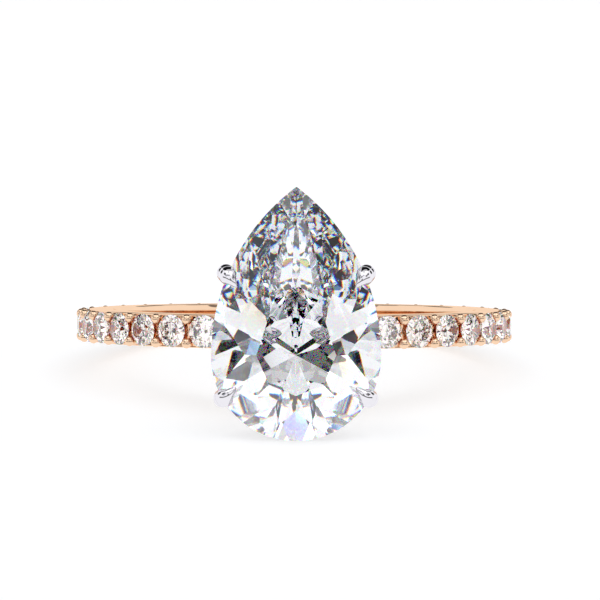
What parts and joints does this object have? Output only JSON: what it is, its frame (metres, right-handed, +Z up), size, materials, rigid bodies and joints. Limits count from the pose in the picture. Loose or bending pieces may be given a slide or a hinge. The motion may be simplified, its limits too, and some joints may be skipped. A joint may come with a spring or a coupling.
{
  "type": "engagement ring",
  "caption": "Two-tone ring: a full row of small round stones in shared bead posts, and a pear stone held by four pointed claws on a wire basket.",
  "frame": {"origin": "centre of the bounding box at floor level, with the ring lying at rest on the round end of the pear stone and the back of the band", "axes": "+Z up from the floor, the pear stone faces -Y, +X to the right as the stone is seen; the finger axis leans 8.7 degrees back from +Z"},
  "size_m": [0.0204, 0.0252, 0.0105],
  "materials": {
    "rose_gold": null,
    "white_gold": null,
    "diamond": null,
    "melee_diamond": null
  },
  "bodies": {
    "root": {"base_rail": "white_gold", "gallery_rail": "white_gold", "head_bridge": "white_gold", "melee_01": "melee_diamond", "melee_02": "melee_diamond", "melee_03": "melee_diamond", "melee_04": "melee_diamond", "melee_05": "melee_diamond", "melee_06": "melee_diamond", "melee_07": "melee_diamond", "melee_08": "melee_diamond", "melee_09": "melee_diamond", "melee_10": "melee_diamond", "melee_11": "melee_diamond", "melee_12": "melee_diamond", "melee_13": "melee_diamond", "melee_14": "melee_diamond", "melee_15": "melee_diamond", "melee_16": "melee_diamond", "melee_17": "melee_diamond", "melee_18": "melee_diamond", "melee_19": "melee_diamond", "melee_20": "melee_diamond", "melee_21": "melee_diamond", "melee_22": "melee_diamond", "melee_23": "melee_diamond", "melee_24": "melee_diamond", "melee_25": "melee_diamond", "melee_26": "melee_diamond", "melee_27": "melee_diamond", "melee_28": "melee_diamond", "melee_29": "melee_diamond", "melee_30": "melee_diamond", "melee_31": "melee_diamond", "melee_32": "melee_diamond", "melee_33": "melee_diamond", "melee_34": "melee_diamond", "melee_35": "melee_diamond", "melee_36": "melee_diamond", "pear_diamond": "diamond", "prong_lower_left": "white_gold", "prong_lower_right": "white_gold", "prong_upper_left": "white_gold", "prong_upper_right": "white_gold", "shank": "rose_gold"}
  },
  "joints": []
}
